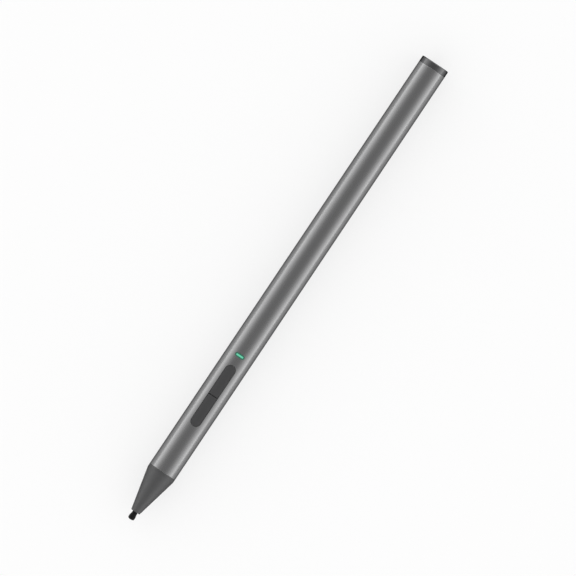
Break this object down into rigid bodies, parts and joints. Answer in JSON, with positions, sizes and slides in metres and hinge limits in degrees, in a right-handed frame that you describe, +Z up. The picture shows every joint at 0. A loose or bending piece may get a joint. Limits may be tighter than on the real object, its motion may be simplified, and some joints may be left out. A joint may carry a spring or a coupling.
{
  "type": "stylus pen",
  "caption": "Slim round rechargeable stylus pen: sprung pull-out nib in a matte cone, split side buttons, charge light and a socket in the flat tail.",
  "frame": {"origin": "below the middle of the pen, on the surface that it lies on", "axes": "+X along the pen from the nib to the tail, +Z up, with the buttons and the charge light facing up"},
  "size_m": [0.1712, 0.0094, 0.0096],
  "materials": {
    "anodised_barrel": "bead-blasted anodised gunmetal, satin",
    "cone_plastic": "fine moulded texture, matte",
    "cap_plastic": "satin",
    "nib_plastic": "hard smooth plastic",
    "button_plastic": "matte",
    "light_guide": "clear, lit green",
    "electrode_brass": "turned",
    "spring_steel": "drawn wire",
    "housing_plastic": "moulded",
    "sensor_can": "drawn can",
    "silicone": "soft moulded",
    "flex_film": "polyimide film",
    "chassis_plastic": "moulded",
    "circuit_board": "solder mask",
    "screw_steel": "plated",
    "switch_case": "moulded",
    "switch_plunger": "moulded",
    "light_chip": "cast resin",
    "antenna_ceramic": "fired ceramic",
    "chip_resin": "moulded resin",
    "crystal_can": "plated lid",
    "ferrite": "pressed ferrite",
    "capacitor_ceramic": "fired ceramic",
    "connector_plastic": "moulded",
    "battery_wrap": "shrink wrapped cell",
    "nickel": "rolled strip",
    "foam": "closed-cell foam",
    "socket_steel": "drawn stainless",
    "tongue_plastic": "moulded",
    "contact_gold": "gold plated"
  },
  "bodies": {
    "pen_body": {"barrel": "anodised_barrel", "nose_cone": "cone_plastic", "tail_cap": "cap_plastic", "light_guide": "light_guide", "tilt_ring": "electrode_brass", "nib_spring": "spring_steel", "sensor_housing": "housing_plastic", "pressure_sensor": "sensor_can", "sensor_pad": "silicone", "sensor_flex": "flex_film", "link_flex": "flex_film", "chassis": "chassis_plastic", "main_board": "circuit_board", "charge_board": "circuit_board", "board_screws": "screw_steel", "front_switch": "switch_case", "rear_switch": "switch_case", "status_light": "light_chip", "antenna": "antenna_ceramic", "driver_chip": "chip_resin", "processor": "chip_resin", "charge_chip": "chip_resin", "crystal": "crystal_can", "inductor": "ferrite", "capacitors": "capacitor_ceramic", "flex_connector": "connector_plastic", "battery": "battery_wrap", "battery_tabs": "nickel", "battery_pads": "foam", "socket_shell": "socket_steel", "socket_tongue": "tongue_plastic", "socket_contacts": "contact_gold"},
    "nib_holder": {"nib_holder": "electrode_brass"},
    "nib": {"nib": "nib_plastic"},
    "front_button": {"front_button": "button_plastic", "front_switch_plunger": "switch_plunger"},
    "rear_button": {"rear_button": "button_plastic", "rear_switch_plunger": "switch_plunger"}
  },
  "joints": [
    {"name": "nib_press", "type": "slide", "parent": "pen_body", "child": "nib_holder", "axis": [1, 0, 0], "range_m": [0, 0.0004], "stiffness_N_per_m": 500, "springref_m": -0.0006, "deforming": ["nib_spring"]},
    {"name": "nib_pull", "type": "slide", "parent": "nib_holder", "child": "nib", "axis": [-1, 0, 0], "range_m": [0, 0.0135]},
    {"name": "front_button_press", "type": "slide", "parent": "pen_body", "child": "front_button", "axis": [0, 0, -1], "range_m": [0, 0.00025], "stiffness_N_per_m": 1200, "springref_m": -0.0006},
    {"name": "rear_button_press", "type": "slide", "parent": "pen_body", "child": "rear_button", "axis": [0, 0, -1], "range_m": [0, 0.00025], "stiffness_N_per_m": 1200, "springref_m": -0.0006}
  ]
}
